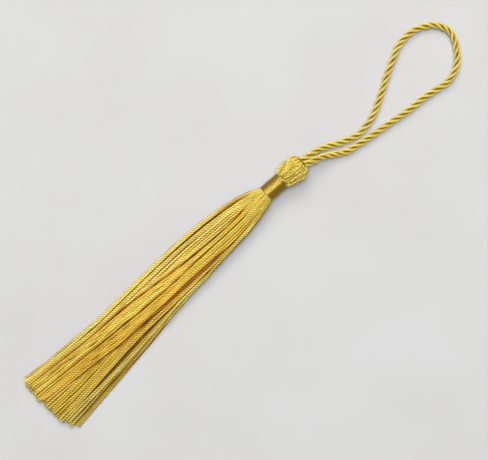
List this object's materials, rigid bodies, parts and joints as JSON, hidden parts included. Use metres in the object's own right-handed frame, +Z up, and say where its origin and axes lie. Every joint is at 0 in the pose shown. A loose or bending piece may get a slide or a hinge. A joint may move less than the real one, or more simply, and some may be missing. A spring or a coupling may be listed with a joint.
{
  "type": "silk tassel",
  "caption": "Silk tassel lying flat: folded yarn head, thread-bound neck, spread skirt of yarns and a hanging loop of twisted cord.",
  "frame": {"origin": "centre of the small flat under the head, on the surface that the tassel lies on", "axes": "+Y along the tassel from the skirt to the loop, +X to the side on which the single strands splay out, +Z up from the surface"},
  "size_m": [0.0221, 0.1304, 0.0062],
  "materials": {
    "silk_yarn": "glossy gold silk yarn, plied",
    "binding_thread": "glossy dark gold thread, wound in close turns",
    "twisted_cord": "satin gold cord, three plies"
  },
  "bodies": {
    "root": {"yarn_tassel": "silk_yarn", "neck_binding": "binding_thread", "hanging_cord": "twisted_cord"}
  },
  "joints": []
}
